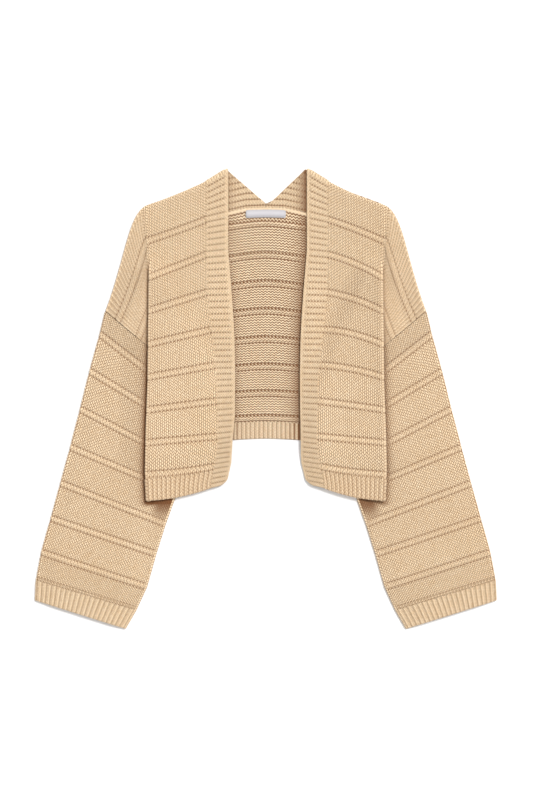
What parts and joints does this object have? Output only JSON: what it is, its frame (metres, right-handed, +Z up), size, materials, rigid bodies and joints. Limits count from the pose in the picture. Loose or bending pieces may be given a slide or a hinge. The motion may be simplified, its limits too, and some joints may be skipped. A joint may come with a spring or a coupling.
{
  "type": "open-front cropped cardigan",
  "caption": "Cropped open-front knitted cardigan laid flat, with long sleeves, raised ridge rows, garter front bands, ribbed hems and cuffs and a shaped neckband.",
  "frame": {"origin": "centre of the garment's outline, on the surface it lies on", "axes": "+Z up from the surface, +Y towards the neck, +X towards the picture's right"},
  "size_m": [0.6922, 0.6911, 0.0257],
  "materials": {
    "knit": "matte wool knit",
    "woven_label": "satin weave"
  },
  "bodies": {
    "root": {"back": "knit", "hem_back": "knit", "front_left": "knit", "front_right": "knit", "hem_front_left": "knit", "hem_front_right": "knit", "band_left": "knit", "band_right": "knit", "neck_band_left": "knit", "neck_band_right": "knit", "sleeve_left": "knit", "sleeve_right": "knit", "cuff_left": "knit", "cuff_right": "knit", "neck_label": "woven_label"}
  },
  "joints": []
}
